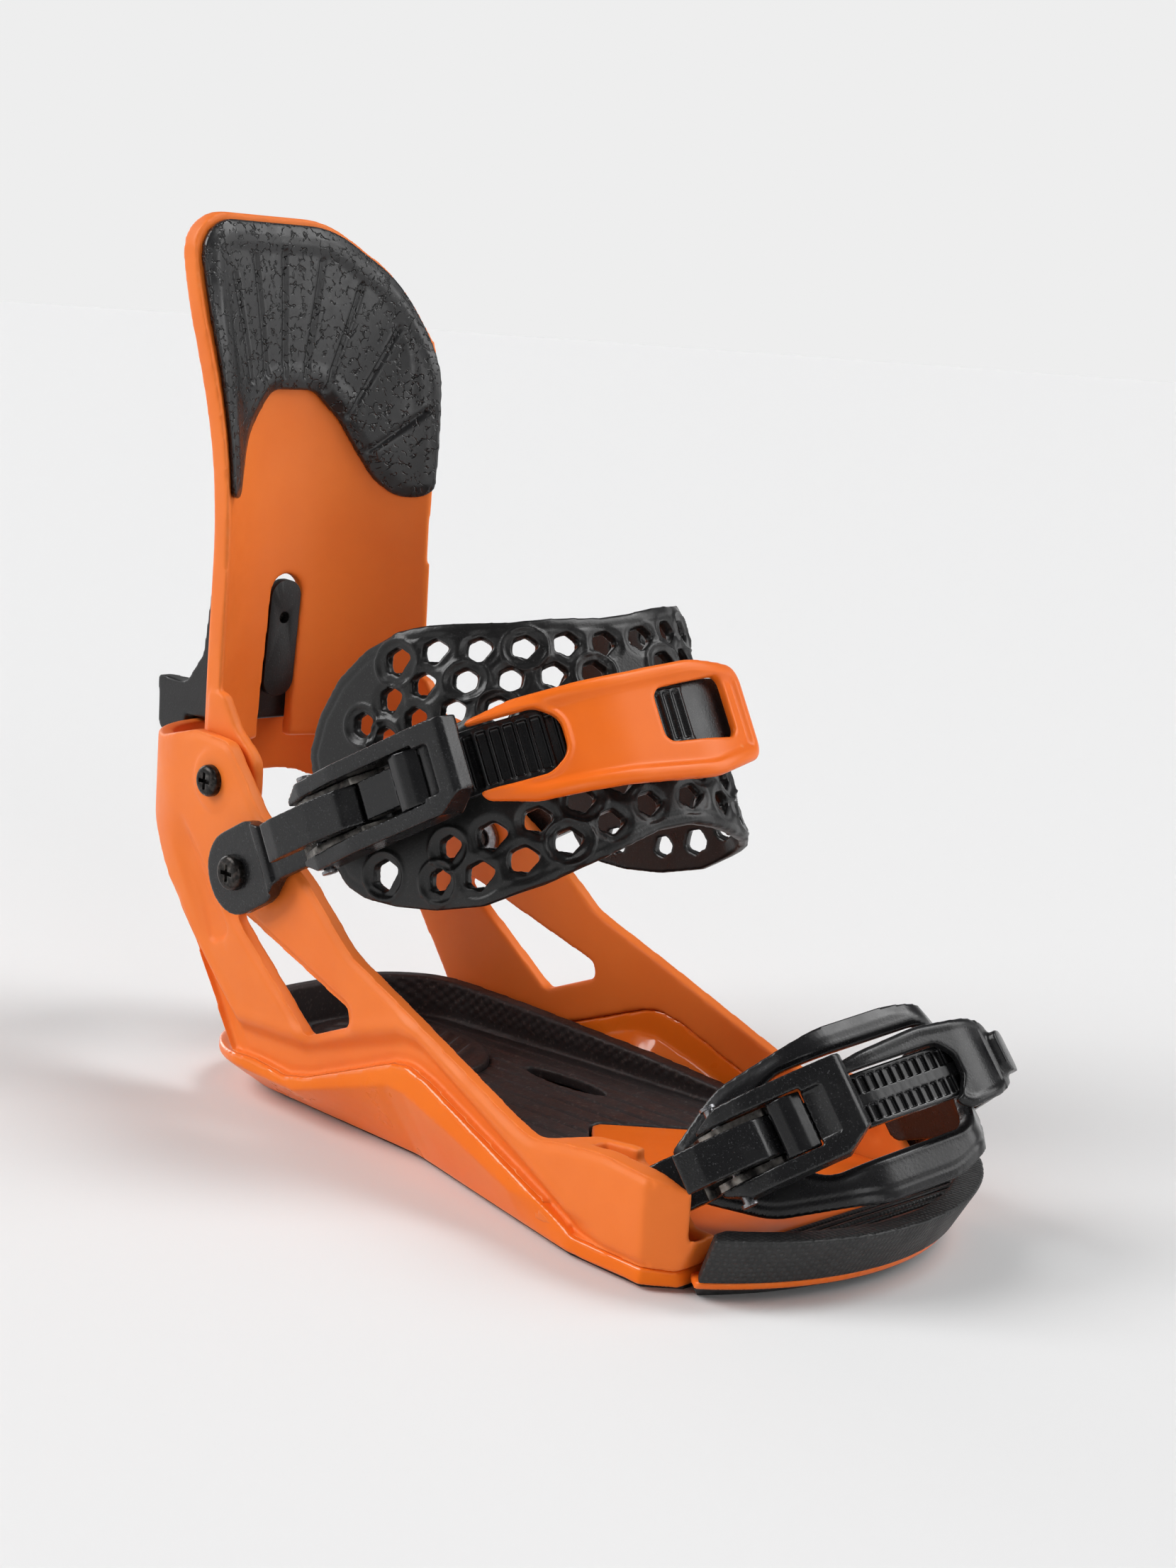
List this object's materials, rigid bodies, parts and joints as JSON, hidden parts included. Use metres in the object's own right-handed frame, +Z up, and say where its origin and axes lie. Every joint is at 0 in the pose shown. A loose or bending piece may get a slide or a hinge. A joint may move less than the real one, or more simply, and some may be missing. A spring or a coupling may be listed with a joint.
{
  "type": "snowboard binding",
  "caption": "Strap binding that holds a snowboard boot: base, heel hoop and highback, ratchet ankle and toe straps, padded footbed and adjustable toe ramp.",
  "frame": {"origin": "centre of the mounting disc's four-hole pattern, on the plane that rests on the board", "axes": "+X towards the toe, +Y towards the inner side of a right foot, +Z up from the board"},
  "size_m": [0.3249, 0.1332, 0.2725],
  "materials": {
    "frame_plastic": "matte orange moulded plastic",
    "base_plastic": "glossy orange moulded plastic",
    "bridge_plastic": "satin orange moulded plastic",
    "black_plastic": "matte black moulded plastic",
    "buckle_plastic": "speckled charcoal moulded plastic",
    "ladder_plastic": "satin black moulded plastic",
    "pad_foam": "soft black moulded pad",
    "pad_leather": "black wrinkled synthetic skin over foam",
    "footbed_rubber": "dark grey textured rubber",
    "sole_rubber": "black rubber",
    "screw_steel": "black coated steel",
    "pin_steel": "dark steel"
  },
  "bodies": {
    "base": {"baseplate": "base_plastic", "base_gasket": "sole_rubber", "heel_chassis": "frame_plastic", "chassis_screws": "screw_steel", "footbed": "footbed_rubber", "heel_pad": "footbed_rubber", "highback_screws": "screw_steel", "ankle_screws": "screw_steel", "ankle_nuts": "pin_steel", "toe_pins": "pin_steel"},
    "disc": {"mounting_disc": "black_plastic"},
    "ramp": {"ramp_plate": "bridge_plastic", "toe_ramp": "black_plastic", "ramp_sole": "sole_rubber"},
    "highback": {"highback": "frame_plastic", "highback_pad": "pad_leather", "lean_plate": "black_plastic", "lean_screw": "screw_steel"},
    "lean": {"lean_block": "black_plastic"},
    "ankle_strap": {"ankle_link": "buckle_plastic", "ankle_far_link": "buckle_plastic", "ankle_buckle_base": "pin_steel", "ankle_lever_pin": "pin_steel", "ankle_pawl_pin": "pin_steel", "ankle_spring": "pin_steel", "ankle_ladder": "ladder_plastic", "ankle_bridge": "bridge_plastic", "ankle_pad": "pad_foam", "ankle_far_strap": "ladder_plastic"},
    "ankle_lever": {"ankle_lever": "buckle_plastic", "ankle_drum": "ladder_plastic"},
    "ankle_release": {"ankle_release": "buckle_plastic"},
    "toe_strap": {"toe_link": "buckle_plastic", "toe_far_link": "buckle_plastic", "toe_buckle_base": "pin_steel", "toe_lever_pin": "pin_steel", "toe_pawl_pin": "pin_steel", "toe_spring": "pin_steel", "toe_ladder": "ladder_plastic", "toe_tower": "buckle_plastic", "toe_cap": "pad_foam", "toe_far_strap": "ladder_plastic"},
    "toe_lever": {"toe_lever": "buckle_plastic", "toe_drum": "ladder_plastic"},
    "toe_release": {"toe_release": "buckle_plastic"}
  },
  "joints": [
    {"name": "stance_turn", "type": "hinge", "parent": "base", "child": "disc", "pos_m": [0, 0, 0], "axis": [0, 0, 1], "range_deg": [-30, 30]},
    {"name": "ramp_slide", "type": "slide", "parent": "base", "child": "ramp", "axis": [1, 0, 0], "range_m": [0, 0.01]},
    {"name": "highback_fold", "type": "hinge", "parent": "base", "child": "highback", "pos_m": [-0.11, 0, 0.099], "axis": [0, 1, 0], "range_deg": [0, 30]},
    {"name": "lean_slide", "type": "slide", "parent": "highback", "child": "lean", "axis": [0.0785, 0, 0.9969], "range_m": [0, 0.008]},
    {"name": "ankle_strap_swing", "type": "hinge", "parent": "base", "child": "ankle_strap", "pos_m": [-0.088, 0, 0.075], "axis": [0, 1, 0], "range_deg": [-20, 6]},
    {"name": "ankle_lever_lift", "type": "hinge", "parent": "ankle_strap", "child": "ankle_lever", "pos_m": [-0.045, -0.06236, 0.09835], "axis": [0.4772, 0, -0.8788], "range_deg": [0, 90]},
    {"name": "ankle_release_press", "type": "hinge", "parent": "ankle_strap", "child": "ankle_release", "pos_m": [-0.03141, -0.06005, 0.10573], "axis": [0.4772, 0, -0.8788], "range_deg": [0, 4], "stiffness_Nm_per_rad": 0.5, "springref_deg": -1.15},
    {"name": "toe_strap_swing", "type": "hinge", "parent": "base", "child": "toe_strap", "pos_m": [0.084, 0, 0.02], "axis": [0, 1, 0], "range_deg": [-25, 0]},
    {"name": "toe_lever_lift", "type": "hinge", "parent": "toe_strap", "child": "toe_lever", "pos_m": [0.10641, -0.04586, 0.03815], "axis": [0.6293, 0, -0.7771], "range_deg": [0, 90]},
    {"name": "toe_release_press", "type": "hinge", "parent": "toe_strap", "child": "toe_release", "pos_m": [0.11199, -0.03906, 0.04266], "axis": [0.6293, 0, -0.7771], "range_deg": [0, 4], "stiffness_Nm_per_rad": 0.5, "springref_deg": -1.15}
  ]
}
